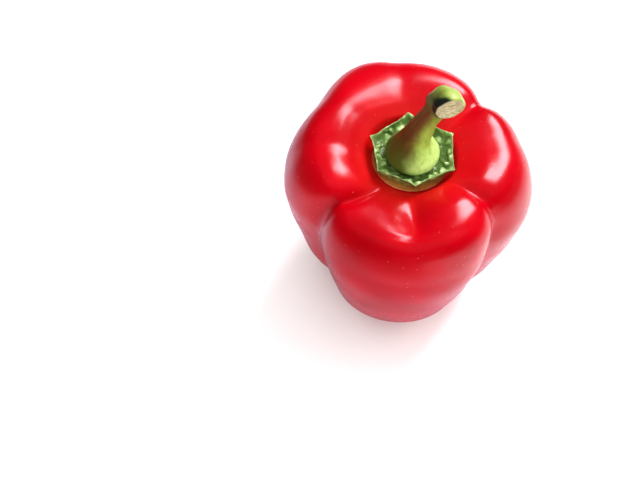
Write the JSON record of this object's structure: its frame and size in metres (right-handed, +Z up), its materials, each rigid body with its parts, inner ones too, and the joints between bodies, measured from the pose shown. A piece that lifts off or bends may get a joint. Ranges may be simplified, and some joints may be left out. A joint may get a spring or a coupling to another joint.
{
  "type": "bell pepper",
  "caption": "Red bell pepper standing on its blossom end: blocky lobed fruit, toothed green calyx and a thick bent stem with a cut end.",
  "frame": {"origin": "middle of the object's footprint box, on the plane it rests on", "axes": "+Z up from the blossom end toward the stem, -Y toward the broadest lobe, +X toward the lobe that the stem leans over"},
  "size_m": [0.0867, 0.0904, 0.1097],
  "materials": {
    "skin": "smooth waxy red pepper skin, glossy",
    "calyx_flesh": "puckered fleshy green calyx, soft shine",
    "stalk": "ridged yellow-green stem with a dry fibrous cut end, satin"
  },
  "bodies": {
    "root": {"fruit": "skin", "calyx": "calyx_flesh", "stem": "stalk"}
  },
  "joints": []
}
